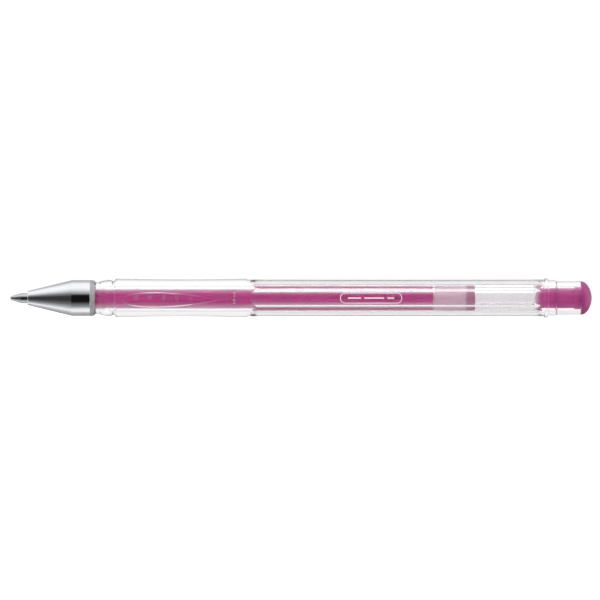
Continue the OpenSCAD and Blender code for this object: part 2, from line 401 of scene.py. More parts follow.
@dataclass(frozen=True)
class LeafRelief:
    """The leaf pressed into the grip, with plain pips in it and an upright row of pips behind."""

    start: float = -43.58
    length: float = 24.0
    half_height: float = 1.75
    fullness: float = 2.6
    middle: float = -0.45
    edge: float = 0.14
    depth: float = 0.1
    face: float = -3.0
    row: PipRow = PipRow(start=-41.7, pitch=3.3, count=5, radius=0.55, crown=0.4, height=0.22)
    row_level: float = 0.1
    column: PipRow = PipRow(start=-1.9, pitch=0.95, count=4, radius=0.3, crown=0.3, height=0.154)
    column_x: float = -16.25

    def height(self, bench: FinishBench) -> Socket:
        """Works out the relief's height in millimetres.

        Args:
            bench: The material's bench.

        Returns:
            The height, 0 on the open surface.
        """
        past = bench.math("SUBTRACT", bench.x, self.start * MM)
        share = bench.math("DIVIDE", past, self.length * MM)
        inside = bench.math("MINIMUM", bench.math("MAXIMUM", share, 0.0), 1.0)
        swell = bench.math("MULTIPLY", bench.math("SQRT", inside), bench.inverse(inside))
        half = bench.math("MULTIPLY", swell, self.fullness * self.half_height * MM)
        away = bench.math("ABSOLUTE", bench.math("SUBTRACT", bench.z, self.middle * MM))
        gap = bench.math("SUBTRACT", away, half)
        floor = bench.inverse(bench.step(gap, -self.edge * MM, self.edge * MM))
        row = self.row.rise(bench, bench.x, bench.math("SUBTRACT", bench.z, self.row_level * MM))
        beside = bench.math("SUBTRACT", bench.x, self.column_x * MM)
        column = self.column.rise(bench, bench.z, beside)
        relief = bench.math("SUBTRACT", row, bench.math("MULTIPLY", floor, self.depth))
        front = bench.math("LESS_THAN", bench.y, self.face * MM)
        return bench.math("MULTIPLY", bench.math("ADD", relief, column), front)


@dataclass(frozen=True)
class ClearPlastic:
    """Clear polished moulding with faint flow lines, a milky front flange greyed as painted shade,
    painted shade greying it towards its outline, and the pressed leaf.
    """

    tint: Colour = (0.99, 0.987, 0.992)
    # The edge and rim colours are painted shade: they grey the clear plastic towards its outline
    # as it turns away from the viewer.
    edge_shade: Colour = (0.73, 0.715, 0.725)
    rim_shade: Colour = (0.6, 0.58, 0.59)
    edge_shade_from: float = 0.36
    edge_shade_to: float = 0.57
    # The flange colour is painted shade: grey over the front flange, next to the joint with the
    # cone.
    flange_shade: Colour = (0.55, 0.55, 0.545)
    joint_from: float = -51.52
    joint_to: float = -51.47
    flange_from: float = -50.35
    flange_to: float = -50.2
    frost: float = 0.45
    cloud: float = 0.45
    wear: float = 0.04
    index: float = 1.5
    flow_depth: float = 0.002
    leaf: Optional[LeafRelief] = None

    def build(self, name: str) -> bpy.types.Material:
        """Builds the material under a name."""
        bench = FinishBench(name)
        # Painted shade: the colour greys towards the outline as the surface turns edge on.
        stops = ((self.edge_shade_from, self.tint), (self.edge_shade_to, self.edge_shade), (1.0, self.rim_shade))
        painted_edge_shade = bench.ramp(bench.turned_away(), stops)
        ahead = bench.inverse(bench.step(bench.x, self.joint_from * MM, self.joint_to * MM))
        behind = bench.step(bench.x, self.flange_from * MM, self.flange_to * MM)
        clear = bench.math("MAXIMUM", ahead, behind)
        milky = bench.inverse(clear)
        # Painted shade: the front flange is greyed, besides being made rough and less clear.
        flange = bench.ramp(clear, ((0.0, self.flange_shade), (1.0, WHITE)))
        bench.put("Base Color", bench.combine("MULTIPLY", painted_edge_shade, flange))
        bench.put("IOR", self.index)
        handled = bench.step(bench.noise(waves=260.0, detail=5.0), 0.5, 0.8)
        bench.roughen(milky, self.frost, bench.math("MULTIPLY", handled, self.wear))
        bench.put("Transmission Weight", bench.math("MULTIPLY_ADD", milky, -self.cloud, 1.0))
        flow = bench.noise(waves=900.0, detail=2.0, stretch=(0.12, 1.0, 1.0))
        normal = bench.bump(flow, self.flow_depth)
        if self.leaf is not None:
            bench.bump(self.leaf.height(bench), 1.0, under=normal)
        return bench.material


@dataclass(frozen=True)
class TubePlastic:
    """Translucent extruded tube with drawing lines along it, and painted light whitening it
    towards its outline.
    """

    tint: Colour = (0.93, 0.905, 0.92)
    # The wall colour is painted light: it whitens the tube towards its outline as the surface
    # turns edge on.
    wall_light: Colour = (0.99, 0.98, 0.985)
    wall_light_from: float = 0.25
    wall_light_to: float = 0.42
    clearness: float = 0.97
    index: float = 1.5
    haze: float = 0.06
    cloud: float = 0.08
    line_depth: float = 0.0008

    def build(self, name: str) -> bpy.types.Material:
        """Builds the material under a name."""
        bench = FinishBench(name)
        # Painted light: the colour whitens towards the outline.
        stops = ((self.wall_light_from, self.tint), (self.wall_light_to, self.wall_light))
        bench.put("Base Color", bench.ramp(bench.turned_away(), stops))
        bench.put("Transmission Weight", self.clearness)
        bench.put("IOR", self.index)
        bench.roughen(bench.noise(waves=700.0, detail=4.0), self.cloud, self.haze)
        bench.bump(bench.noise(waves=5200.0, stretch=(0.02, 1.0, 1.0)), self.line_depth)
        return bench.material


@dataclass(frozen=True)
class PlatedMetal:
    """Bright plating over a turned blank, with faint wiping marks."""

    colour: Colour = (0.86, 0.87, 0.9)
    dark: float = 0.95
    gloss: float = 0.08
    wiping: float = 0.1
    turned_depth: float = 0.0003

    def build(self, name: str) -> bpy.types.Material:
        """Builds the material under a name."""
        bench = FinishBench(name)
        bench.put("Metallic", 1.0)
        bench.put("Base Color", bench.mottle(bench.noise(waves=420.0), self.colour, self.dark))
        wiped = bench.noise(waves=1500.0, detail=6.0, stretch=(0.25, 1.0, 1.0))
        bench.roughen(wiped, self.wiping, self.gloss)
        turned = bench.noise(waves=9000.0, detail=2.0, stretch=(1.0, 0.03, 0.03))
        bench.bump(turned, self.turned_depth)
        return bench.material


@dataclass(frozen=True)
class TurnedSteel:
    """Fine turned stainless steel with tool rings about the axis."""

    colour: Colour = (0.62, 0.63, 0.66)
    dark: float = 0.88
    gloss: float = 0.14
    ring_waves: float = 7000.0
    ring_shine: float = 0.16
    ring_depth: float = 0.0022

    def build(self, name: str) -> bpy.types.Material:
        """Builds the material under a name."""
        bench = FinishBench(name)
        bench.put("Metallic", 1.0)
        stain = bench.noise(waves=1800.0, detail=4.0)
        bench.put("Base Color", bench.mottle(stain, self.colour, self.dark, low=0.3, high=0.7))
        rings = bench.noise(self.ring_waves, stretch=(1.0, 0.02, 0.02))
        bench.roughen(rings, self.ring_shine, self.gloss)
        bench.bump(rings, self.ring_depth)
        return bench.material


@dataclass(frozen=True)
class PinkPlastic:
    """Glossy moulding with uneven pigment, clearer at the front of the stem, where painted light
    makes it paler.
    """

    colour: Colour = (0.33, 0.035, 0.17)
    dark: float = 0.9
    # The paler front colour is painted light on the front of the stem.
    lit_front_colour: Colour = (0.6, 0.2, 0.42)
    clear_from: float = 59.2
    clear_to: float = 56.9
    clear_cover: float = 0.45
    specular: float = 0.3
    gloss: float = 0.17
    grain_shine: float = 0.1
    grain_depth: float = 0.0012

    def build(self, name: str) -> bpy.types.Material:
        """Builds the material under a name."""
        bench = FinishBench(name)
        swirl = bench.noise(waves=520.0, detail=4.0, stretch=(0.5, 1.0, 1.0))
        solid = bench.mottle(swirl, self.colour, self.dark)
        # Painted light: the stem's front is paler, as well as clearer.
        solid_share = bench.step(bench.x, self.clear_to * MM, self.clear_from * MM)
        bench.put("Base Color", bench.fade(solid_share, self.lit_front_colour, solid))
        cover = bench.math("MULTIPLY_ADD", solid_share, 1.0 - self.clear_cover, self.clear_cover)
        bench.put("Alpha", cover)
        bench.put("Specular IOR Level", self.specular)
        bench.scatter(weight=0.12, depth=0.4, radius=(1.0, 0.25, 0.5))
        grain = bench.noise(waves=5200.0)
        bench.roughen(grain, self.grain_shine, self.gloss)
        bench.bump(grain, self.grain_depth)
        return bench.material


@dataclass(frozen=True)
class GelInk:
    """Wet pigmented gel, clearer where it thins at the wall, with painted light making it paler
    there.
    """

    colour: Colour = (0.66, 0.03, 0.3)
    # The paler colour is painted light towards the ink's outline.
    lit_edge_colour: Colour = (0.85, 0.36, 0.6)
    dark: float = 0.93
    thinning: float = 0.75
    specular: float = 0.1
    gloss: float = 0.3
    streak_shine: float = 0.1

    def build(self, name: str) -> bpy.types.Material:
        """Builds the material under a name."""
        bench = FinishBench(name)
        away = bench.turned_away()
        # Painted light: the colour pales towards the outline as the surface turns edge on.
        stops = ((0.0, self.colour), (0.06, self.colour), (0.25, self.lit_edge_colour))
        streak = bench.noise(waves=900.0, detail=5.0, stretch=(0.06, 1.0, 1.0))
        uneven = bench.mottle(streak, WHITE, self.dark, low=0.3, high=0.7)
        bench.put("Base Color", bench.combine("MULTIPLY", bench.ramp(away, stops), uneven))
        thin = bench.step(away, 0.08, 0.4)
        bench.put("Alpha", bench.math("MULTIPLY_ADD", thin, -self.thinning, 1.0))
        bench.put("Specular IOR Level", self.specular)
        bench.scatter(weight=0.25, depth=0.6, radius=(1.0, 0.2, 0.45))
        bench.roughen(streak, self.streak_shine, self.gloss)
        return bench.material


@dataclass(frozen=True)
class FollowerGrease:
    """Pale soft grease, stained by the ink where it thins behind."""

    colour: Colour = (0.82, 0.58, 0.7)
    stained: Colour = (0.55, 0.22, 0.37)
    stain_from: float = 40.2
    stain_to: float = 41.0
    stain_drift: float = 0.7
    gloss: float = 0.2
    cloud: float = 0.2

    def build(self, name: str) -> bpy.types.Material:
        """Builds the material under a name."""
        bench = FinishBench(name)
        cloud = bench.noise(waves=900.0, detail=4.0)
        place = bench.math("MULTIPLY_ADD", cloud, self.stain_drift * MM, bench.x)
        share = bench.step(place, self.stain_from * MM, self.stain_to * MM)
        bench.put("Base Color", bench.ramp(share, ((0.0, self.colour), (1.0, self.stained))))
        bench.scatter(weight=0.4, depth=0.8, radius=(1.0, 0.6, 0.8))
        bench.roughen(bench.noise(waves=2600.0), self.cloud, self.gloss)
        return bench.material


@dataclass(frozen=True)
class PlainPlastic:
    """Natural moulded plastic, slightly cloudy."""

    colour: Colour = (0.82, 0.81, 0.78)
    dark: float = 0.93
    gloss: float = 0.33
    cloud_shine: float = 0.15
    grain_depth: float = 0.0015

    def build(self, name: str) -> bpy.types.Material:
        """Builds the material under a name."""
        bench = FinishBench(name)
        cloud = bench.noise(waves=800.0, detail=5.0)
        bench.put("Base Color", bench.mottle(cloud, self.colour, self.dark))
        bench.scatter(weight=0.3, depth=0.5)
        bench.roughen(cloud, self.cloud_shine, self.gloss)
        bench.bump(bench.noise(waves=6000.0), self.grain_depth)
        return bench.material


@dataclass(frozen=True)
class PrintInk:
    """Thin white print with an uneven screened edge."""

    colour: Colour = (0.93, 0.9, 0.92)
    dark: float = 0.93
    gloss: float = 0.4
    mottle_shine: float = 0.2
    mottle_depth: float = 0.002

    def build(self, name: str) -> bpy.types.Material:
        """Builds the material under a name."""
        bench = FinishBench(name)
        mottle = bench.noise(waves=4200.0, detail=4.0)
        bench.put("Base Color", bench.mottle(mottle, self.colour, self.dark))
        bench.roughen(mottle, self.mottle_shine, self.gloss)
        bench.bump(mottle, self.mottle_depth)
        return bench.material


@dataclass(frozen=True)
class StudioPaper:
    """Pale matt paper with soft fibres."""

    low: float = 0.93
    high: float = 0.95
    roughness: float = 0.9

    def build(self, name: str) -> bpy.types.Material:
        """Builds the material under a name."""
        bench = FinishBench(name)
        stops = ((0.3, (self.low,) * 3), (0.7, (self.high,) * 3))
        bench.put("Base Color", bench.ramp(bench.noise(waves=60.0, detail=4.0), stops))
        bench.put("Roughness", self.roughness)
        bench.put("Specular IOR Level", 0.0)
        return bench.material


# ---------------------------------------------------------------- turning and mesh work


def soften(profile: Sequence[Point], radius: float, steps: int = 5) -> list[Point]:
    """Rounds the inner corners of an open profile.

    Args:
        profile: Points (x, r) in millimetres.
        radius: How far the rounding reaches along each side, in millimetres.
        steps: Pieces in each rounding.

    Returns:
        The rounded profile.
    """
    least_turn, most_share = math.radians(8), 0.4
    out = [profile[0]]
    for before, here, after in zip(profile, profile[1:], profile[2:]):
        a, b, c = Vector(before), Vector(here), Vector(after)
        sides = (b - a).length, (c - b).length
        turn = (b - a).angle(c - b, 0.0) if min(sides) > 0 else 0.0
        if turn < least_turn:
            out.append(here)
            continue
        reach = min(radius, *(most_share * side for side in sides))
        start, end = b + (a - b).normalized() * reach, b + (c - b).normalized() * reach
        for i in range(steps + 1):
            t = i / steps
            at = start * (1 - t) ** 2 + b * 2 * t * (1 - t) + end * t**2
            out.append((at.x, at.y))
    out.append(profile[-1])
    return out


def spread(start: float, end: float, count: int) -> list[float]:
    """Places evenly spaced stations from start to end, both included."""
    return [start + (end - start) * i / count for i in range(count + 1)]


def straight(radius: float, start: float, end: float, count: int) -> list[Point]:
    """Draws an even line of profile points at one radius."""
    return [(x, radius) for x in spread(start, end, count)]


class Bench:
    """Mesh work shared by every piece."""

    @staticmethod
    def clear_selection() -> None:
        """Leaves edit mode and deselects everything."""
        if bpy.context.object is not None and bpy.context.object.mode != "OBJECT":
            bpy.ops.object.mode_set(mode="OBJECT")
        bpy.ops.object.select_all(action="DESELECT")

    @staticmethod
    def take(name: str) -> Piece:
        """Names the shape that was just added and gives it back."""
        piece = bpy.context.active_object
        piece.name = piece.data.name = name
        return piece

    @staticmethod
    @contextmanager
    def editing() -> Iterator[None]:
        """Works in edit mode with the whole mesh selected."""
        bpy.ops.object.mode_set(mode="EDIT")
        bpy.ops.mesh.select_all(action="SELECT")
        yield
        bpy.ops.object.mode_set(mode="OBJECT")

    @staticmethod
    def turn(name: str, profile: Sequence[Point], sides: int = 96, closed: bool = True) -> Piece:
        """Turns a round piece about the pen's axis from its profile.

        Args:
            name: The piece's name.
            profile: Points (x, r) in millimetres, from one end of the outline to the other.
            sides: Faces round the axis.
            closed: Whether the last point joins the first. Otherwise both lie on the axis.

        Returns:
            The turned piece at the origin.
        """
        Bench.clear_selection()
        bpy.ops.mesh.primitive_plane_add(size=MM, location=(0, 0, 0))
        piece = Bench.take(name)
        with Bench.editing():
            bpy.ops.mesh.merge(type="CENTER")
            points = list(profile) + ([profile[0]] if closed else [])
            x, r = points[0]
            bpy.ops.transform.translate(value=(x * MM, 0, r * MM))
            for next_x, next_r in points[1:]:
                move = ((next_x - x) * MM, 0, (next_r - r) * MM)
                bpy.ops.mesh.extrude_region_move(TRANSFORM_OT_translate={"value": move})
                x, r = next_x, next_r
            bpy.ops.mesh.select_all(action="SELECT")
            bpy.ops.mesh.spin(steps=sides, angle=2 * math.pi, center=(0, 0, 0), axis=(1, 0, 0))
            bpy.ops.mesh.select_all(action="SELECT")
            bpy.ops.mesh.remove_doubles(threshold=MERGE_REACH)
            bpy.ops.mesh.normals_make_consistent(inside=False)
        return piece

    @staticmethod
    def screw(piece: Piece, pitch: float, turns: int, steps: int, merge: float = 0.0) -> None:
        """Winds an outline round the pen's axis.

        Args:
            piece: The outline.
            pitch: Millimetres gained in a turn.
            turns: Number of turns.
            steps: Pieces in a turn.
            merge: Points nearer than this are joined, in millimetres, or 0 to join none.
        """
        screw = piece.modifiers.new("screw", "SCREW")
        screw.axis = "X"
        screw.angle = 2 * math.pi
        screw.screw_offset = pitch * MM
        screw.iterations = turns
        screw.steps = screw.render_steps = steps
        if merge > 0:
            screw.use_merge_vertices = True
            screw.merge_threshold = merge * MM
        bpy.ops.object.modifier_apply(modifier=screw.name)

    @staticmethod
    def smooth(piece: Piece, angle: float, weighted: bool = True) -> None:
        """Shades a piece smoothly.

        Args:
            piece: The piece.
            angle: Edges sharper than this stay sharp, in degrees.
            weighted: Whether broad faces lead the normals.
        """
        Bench.clear_selection()
        piece.select_set(True)
        bpy.context.view_layer.objects.active = piece
        bpy.ops.object.shade_smooth_by_angle(angle=math.radians(angle))
        if weighted:
            modifier = piece.modifiers.new("true_faces", "WEIGHTED_NORMAL")
            modifier.keep_sharp = True
            bpy.ops.object.modifier_apply(modifier=modifier.name)

    @staticmethod
    def reshape(piece: Piece, move: Callable[[np.ndarray], np.ndarray]) -> None:
        """Moves a piece's vertices.

        Args:
            piece: The piece.
            move: Takes the points in millimetres and gives them back moved.
        """
        flat = np.zeros(len(piece.data.vertices) * 3)
        piece.data.vertices.foreach_get("co", flat)
        moved = move(flat.reshape(-1, 3) / MM) * MM
        piece.data.vertices.foreach_set("co", moved.ravel())
        piece.data.update()

    @staticmethod
    def dress(
        piece: Piece,
        material: bpy.types.Material,
        body: Body,
        slot: Slot,
        replaces: Iterable[str] = (),
    ) -> None:
        """Gives a new piece its material and body, hides the nodes it replaces, and reports it.

        Args:
            piece: The piece.
            material: Its material.
            body: The body it rides on.
            slot: The record's slot of its finish. Not used.
            replaces: CAD nodes that it stands for.
        """
        piece.data.materials.clear()
        piece.data.materials.append(material)
        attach(piece, body.value)
        if replaces:
            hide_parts(*replaces)
        LOG.info("%s: %d faces, rides on %s", piece.name, len(piece.data.polygons), body.value)


# ---------------------------------------------------------------- sub-assemblies


@dataclass
class Barrel:
    """The clear moulding from the threaded nose to the rear spigot."""

    nose: float = -55.70
    joint: float = -51.42
    grip: float = -45.30
    hexagon: float = -12.95
    rear_flange: float = 59.30
    collar: float = 60.30
    spigot: float = 62.25
    end: float = 68.25
    thread_root: float = 3.56
    thread_top: float = 3.84
    thread_pitch: float = 1.0
    thread_turns: int = 3
    flange_r: float = 4.37
    neck_r: float = 3.9
    ridge_r: float = 4.45
    grip_r: float = 4.715
    waist_r: float = 4.54
    corner_r: float = 4.525
    corner_waist: float = 0.06
    flat_r: float = 4.0
    scoop_r: float = 3.4
    run_start: float = -12.4
    run_end: float = 59.25
    rear_r: float = 4.8
    collar_r: float = 4.335
    spigot_r: float = 4.115
    bore_r: float = 3.15
    nose_bore_r: float = 2.75
    bore_step: float = -47.6
    chamfer: float = 0.15
    corner: float = 0.1
    sides: int = 192
    blend: float = 0.05

    def front(self) -> list[Point]:
        """Draws the nose, the front flange, the neck and the snap ridge."""
        ridge = self.grip - 2.5
        profile = [
            (self.nose, self.nose_bore_r + self.corner),
            (self.nose, self.thread_root - self.chamfer),
            (self.nose + self.chamfer, self.thread_root),
            (self.joint, self.thread_root),
            (self.joint, self.flange_r),
            (self.joint + 0.55, self.flange_r),
            (self.joint + 0.95, self.flange_r - 0.12),
            (self.joint + 1.25, self.neck_r),
            (self.joint + 2.3, self.neck_r),
            (self.joint + 2.6, self.neck_r + 0.2),
            (ridge, self.ridge_r - 0.12),
            (ridge + 0.7, self.ridge_r),
            (ridge + 1.3, self.ridge_r),
            (ridge + 1.75, self.ridge_r - 0.2),
            (ridge + 2.2, self.ridge_r - 0.25),
            (self.grip, self.ridge_r),
            (self.grip, self.grip_r - self.corner),
            (self.grip + 0.25, self.grip_r),
        ]
        return soften(profile, 0.09)

    def body(self) -> list[Point]:
        """Draws the waisted grip and the blank of the hexagon."""
        grip_start, grip_end = self.grip + 0.25, self.hexagon - 0.65
        grip = []
        for x in spread(self.grip + 0.45, grip_end, 44)[:-1]:
            t = (x - grip_start) / (grip_end - grip_start)
            grip.append((x, self.grip_r - (self.grip_r - self.waist_r) * 4 * t * (1 - t)))
        turned = [
            (grip_end, self.grip_r),
            (self.hexagon - self.corner, self.grip_r - self.chamfer),
            (self.hexagon, self.corner_r),
        ]
        front_run = straight(self.corner_r, self.hexagon + 0.12, -7.2, 44)
        middle = straight(self.corner_r, -6.2, 53.0, 46)
        rear_run = straight(self.corner_r, 53.6, self.rear_flange - 0.08, 42)
        return grip + soften(turned, 0.08) + front_run + middle + rear_run

    def rear(self) -> list[Point]:
        """Draws the rear flange, the collar and the spigot."""
        profile = [
            (self.rear_flange, self.corner_r),
            (self.rear_flange, self.rear_r - self.chamfer),
            (self.rear_flange + 0.2, self.rear_r),
            (self.collar - 0.2, self.rear_r),
            (self.collar, self.rear_r - self.chamfer),
            (self.collar, self.collar_r),
            (self.spigot - self.corner, self.collar_r),
            (self.spigot, self.collar_r - self.corner),
            (self.spigot, self.spigot_r),
            (self.end - self.corner, self.spigot_r),
            (self.end, self.spigot_r - self.corner),
            (self.end, self.bore_r + 0.08),
        ]
        return soften(profile, 0.09)

    def inside(self) -> list[Point]:
        """Draws the bore from the rear end to the nose."""
        bore = [(self.end - 0.08, self.bore_r)]
        bore += straight(self.bore_r, self.end - 0.4, self.bore_step + 1.6, 60)
        step = [
            (self.bore_step + 1.4, self.bore_r),
            (self.bore_step + 0.7, self.bore_r),
            (self.bore_step, self.nose_bore_r),
            (self.bore_step - 0.6, self.nose_bore_r),
        ]
        nose = [(self.nose + 0.5, self.nose_bore_r), (self.nose + self.corner, self.nose_bore_r)]
        return bore + soften(step, 0.4) + nose

    def press_flats(self, points: np.ndarray) -> np.ndarray:
        """Presses the six flats into the round blank, with their runs at both ends.

        Args:
            points: The blank's points in millimetres.

        Returns:
            The pressed points.
        """
        x, y, z = points.T
        radius = np.hypot(y, z)
        angle = np.arctan2(z, y)
        off = np.abs((angle + math.pi / 6) % (math.pi / 3) - math.pi / 6)
        middle = np.clip((x - self.hexagon) / (self.rear_flange - self.hexagon), 0, 1)
        waist = self.corner_waist * 4 * middle * (1 - middle)
        depth = self.corner_r - self.flat_r
        reach = np.sqrt(2 * depth * self.scoop_r)
        into = np.maximum(self.run_start + reach - x, x - self.run_end + reach)
        ramp = np.maximum(into, 0.0) ** 2 / (2 * self.scoop_r)
        plane = (self.flat_r - 0.5 * waist + ramp) / np.cos(off)
        bar = radius - waist
        gap = np.clip(0.5 + 0.5 * (bar - plane) / self.blend, 0, 1)
        pressed = bar * (1 - gap) + plane * gap - self.blend * gap * (1 - gap)
        along = (x > self.hexagon + self.corner) & (x < self.rear_flange - 0.01)
        outside = radius > self.flat_r - 0.2
        share = np.where(along & outside, pressed / np.maximum(radius, 1e-9), 1.0)
        return np.column_stack([x, y * share, z * share])

    def shell(self) -> Piece:
        """Makes the moulding."""
        outline = self.front() + self.body() + self.rear() + self.inside()
        shell = Bench.turn("barrel_shell", outline, self.sides)
        Bench.reshape(shell, self.press_flats)
        Bench.smooth(shell, 22.0, weighted=False)
        return shell

    def thread(self) -> Piece:
        """Makes the screw thread on the nose."""
        Bench.clear_selection()
        bpy.ops.mesh.primitive_plane_add(size=MM, location=(0, 0, 0))
        ridge = Bench.take("barrel_thread")
        with Bench.editing():
            bpy.ops.mesh.delete(type="ONLY_FACE")
            bpy.ops.mesh.select_all(action="DESELECT")
        foot, top = self.thread_root - 0.04, self.thread_top
        start = self.nose + 0.55
        corners = [(start, foot), (start + 0.5, foot), (start + 0.35, top), (start + 0.15, top)]
        points = ridge.data.vertices
        order = sorted(range(4), key=lambda i: math.atan2(points[i].co.y, points[i].co.x))
        for i, (x, r) in zip(order, corners):
            points[i].co = (x * MM, 0, r * MM)
        ridge.data.update()
        Bench.screw(ridge, self.thread_pitch, self.thread_turns, steps=64, merge=0.0001)
        with Bench.editing():
            bpy.ops.mesh.fill_holes(sides=4)
            bpy.ops.mesh.normals_make_consistent(inside=False)
        Bench.smooth(ridge, 40.0, weighted=False)
        return ridge

    def build(self) -> None:
        """Builds and dresses the moulding and its thread."""
        clear = ClearPlastic(leaf=LeafRelief()).build("clear_plastic")
        Bench.dress(self.shell(), clear, Body.BARREL, Slot.CLEAR_PLASTIC, ["barrel"])
        plain = ClearPlastic().build("clear_thread")
        Bench.dress(self.thread(), plain, Body.BARREL, Slot.CLEAR_PLASTIC)


@dataclass
class PrintMark:
    """A plain printed label on the flat that faces the viewer: a capsule with three bars."""

    start: float = 9.5
    end: float = 24.6
    half: float = 1.3
    stroke: float = 0.13
    level: float = -3.985
    thickness: float = 0.012
    bars: tuple[Pair, ...] = ((11.4, 14.6), (15.4, 20.2), (21.0, 22.7))
    bar_half: float = 0.13
    sides: int = 48

    def capsule(
        self, name: str, start: float, end: float, half: float, hollow: float = 0.0
    ) -> Piece:
        """Makes a flat capsule on the barrel's flat.

        Args:
            name: The piece's name.
            start: Its front end.
            end: Its rear end.
            half: Half its height.
            hollow: Width of its outline, or 0 for a full shape.

        Returns:
            The capsule.
        """
        Bench.clear_selection()
        bpy.ops.mesh.primitive_circle_add(
            vertices=self.sides,
            radius=half * MM,
            fill_type="NGON",
            location=(0, 0, 0),
            rotation=(math.pi / 2, 0, 0),
        )
        piece = Bench.take(name)
        bpy.ops.object.transform_apply(location=True, rotation=True, scale=True)

        def pull(points: np.ndarray) -> np.ndarray:
            """Draws the disc's two halves apart."""
            shift = np.where(points[:, 0] > 0, end - half, start + half)
            points[:, 0] += shift
            points[:, 1] = self.level
            return points

        Bench.reshape(piece, pull)
        with Bench.editing():
            if hollow > 0:
                bpy.ops.mesh.inset(thickness=hollow * MM, depth=0)
                bpy.ops.mesh.delete(type="FACE")
                bpy.ops.mesh.select_all(action="SELECT")
            move = (0, -self.thickness * MM, 0)
            bpy.ops.mesh.extrude_region_move(TRANSFORM_OT_translate={"value": move})
            bpy.ops.mesh.select_all(action="SELECT")
            bpy.ops.mesh.normals_make_consistent(inside=False)
        return piece

    def build(self) -> None:
        """Builds and dresses the label."""
        ink = PrintInk().build("print_white")
        frame = self.capsule("print_frame", self.start, self.end, self.half, self.stroke)
        Bench.dress(frame, ink, Body.BARREL, Slot.CLEAR_PLASTIC)
        for number, (start, end) in enumerate(self.bars):
            bar = self.capsule(f"print_bar_{number}", start, end, self.bar_half)
            Bench.dress(bar, ink, Body.BARREL, Slot.CLEAR_PLASTIC)


@dataclass
class NoseCone:
    """The plated cone that clamps the refill and screws on to the barrel."""

    front: float = -66.68
    cylinder: float = -55.93
    rear: float = -51.42
    front_r: float = 1.75
    body_r: float = 4.39
    point_bore_r: float = 1.25
    sleeve: float = -63.0
    sleeve_r: float = 2.0
    seat: float = -58.0
    seat_r: float = 3.25
    thread_bore: float = -55.95
    pitch: float = 1.0
    crest_r: float = 3.64
    root_r: float = 3.94

    def outside(self) -> list[Point]:
        """Draws the front lip, the taper, the cylinder and the sharp rear corner."""
        lip = self.front + 0.06
        outer = [
            (self.front, self.point_bore_r + 0.05),
            (self.front, self.front_r - 0.05),
            (lip, self.front_r),
        ]
        slope = (self.body_r - self.front_r) / (self.cylinder - self.front - 0.06)
        for x in spread(self.front + 0.4, self.cylinder - 0.3, 24):
            outer.append((x, self.front_r + slope * (x - self.front - 0.06)))
        outer.append((self.cylinder, self.body_r))
        outer += straight(self.body_r, self.cylinder + 0.4, self.rear - 0.4, 8)
        back = [
            (self.rear - 0.02, self.body_r),
            (self.rear, self.body_r - 0.02),
            (self.rear, self.crest_r + 0.15),
        ]
        return soften(outer, 0.12) + back

    def inside(self) -> list[Point]:
        """Draws the thread's grooves and the stepped bore, from rear to front."""
        inner = [(self.rear - 0.15, self.crest_r)]
        x = self.rear - 0.5
        while x > self.thread_bore + 0.9:
            inner += [(x, self.crest_r), (x - 0.15, self.root_r)]
            inner += [(x - 0.35, self.root_r), (x - 0.5, self.crest_r)]
            x -= self.pitch
        return inner + [
            (self.thread_bore, self.crest_r),
            (self.thread_bore, self.seat_r),
            (self.seat, self.seat_r),
            (self.seat, self.sleeve_r),
            (self.sleeve, self.sleeve_r),
            (self.sleeve, self.point_bore_r),
            (self.front + 0.05, self.point_bore_r),
        ]

    def build(self) -> None:
        """Builds and dresses the cone."""
        cone = Bench.turn("nose_cone_shell", self.outside() + self.inside(), 128)
        Bench.smooth(cone, 35.0)
        metal = PlatedMetal().build("plated_metal")
        Bench.dress(cone, metal, Body.CONE, Slot.PLATED_METAL, ["nose_cone"])


@dataclass
class EndPlug:
    """The pink plug behind: stem, press ring, shoulder and domed head."""

    stem_start: float = 57.10
    stem_r: float = 2.5
    ring: float = 62.25
    ring_w: float = 0.4
    bore_r: float = 3.15
    press: float = 0.02
    shoulder: float = 66.60
    shoulder_r: float = 2.75
    head: float = 68.25
    seat_gap: float = 0.01
    head_r: float = 4.095
    rim: float = 0.3
    end: float = 71.0
    power: float = 1.8
    dome_steps: int = 32

    def outline(self) -> list[Point]:
        """Draws the plug from the middle of its stem to the middle of its dome."""
        ring_front, ring_back = self.ring - self.ring_w / 2, self.ring + self.ring_w / 2
        seat = self.head + self.seat_gap
        body = [
            (self.stem_start, 0.0),
            (self.stem_start, self.stem_r - 0.9),
            (self.stem_start + 0.3, self.stem_r - 0.3),
            (self.stem_start + 0.9, self.stem_r),
            (ring_front, self.stem_r),
            (ring_front, self.bore_r + self.press),
            (ring_back, self.bore_r + self.press),
            (ring_back, self.stem_r),
            (self.shoulder, self.stem_r),
            (self.shoulder, self.shoulder_r),
            (seat, self.shoulder_r),
            (seat, self.head_r - 0.06),
            (seat + 0.06, self.head_r),
        ]
        dome = []
        length = self.end - self.head - self.rim
        for i in range(self.dome_steps + 1):
            t = math.sin(math.pi / 2 * i / self.dome_steps)
            r = self.head_r * max(0.0, 1 - t**self.power) ** (1 / self.power)
            dome.append((self.head + self.rim + length * t, r))
        return soften(body, 0.12) + dome

    def build(self) -> None:
        """Builds and dresses the plug."""
        plug = Bench.turn("end_plug_body", self.outline(), 128, closed=False)
        Bench.smooth(plug, 40.0)
        pink = PinkPlastic().build("pink_plastic")
        Bench.dress(plug, pink, Body.BARREL, Slot.PINK_PLASTIC, ["end_plug"])


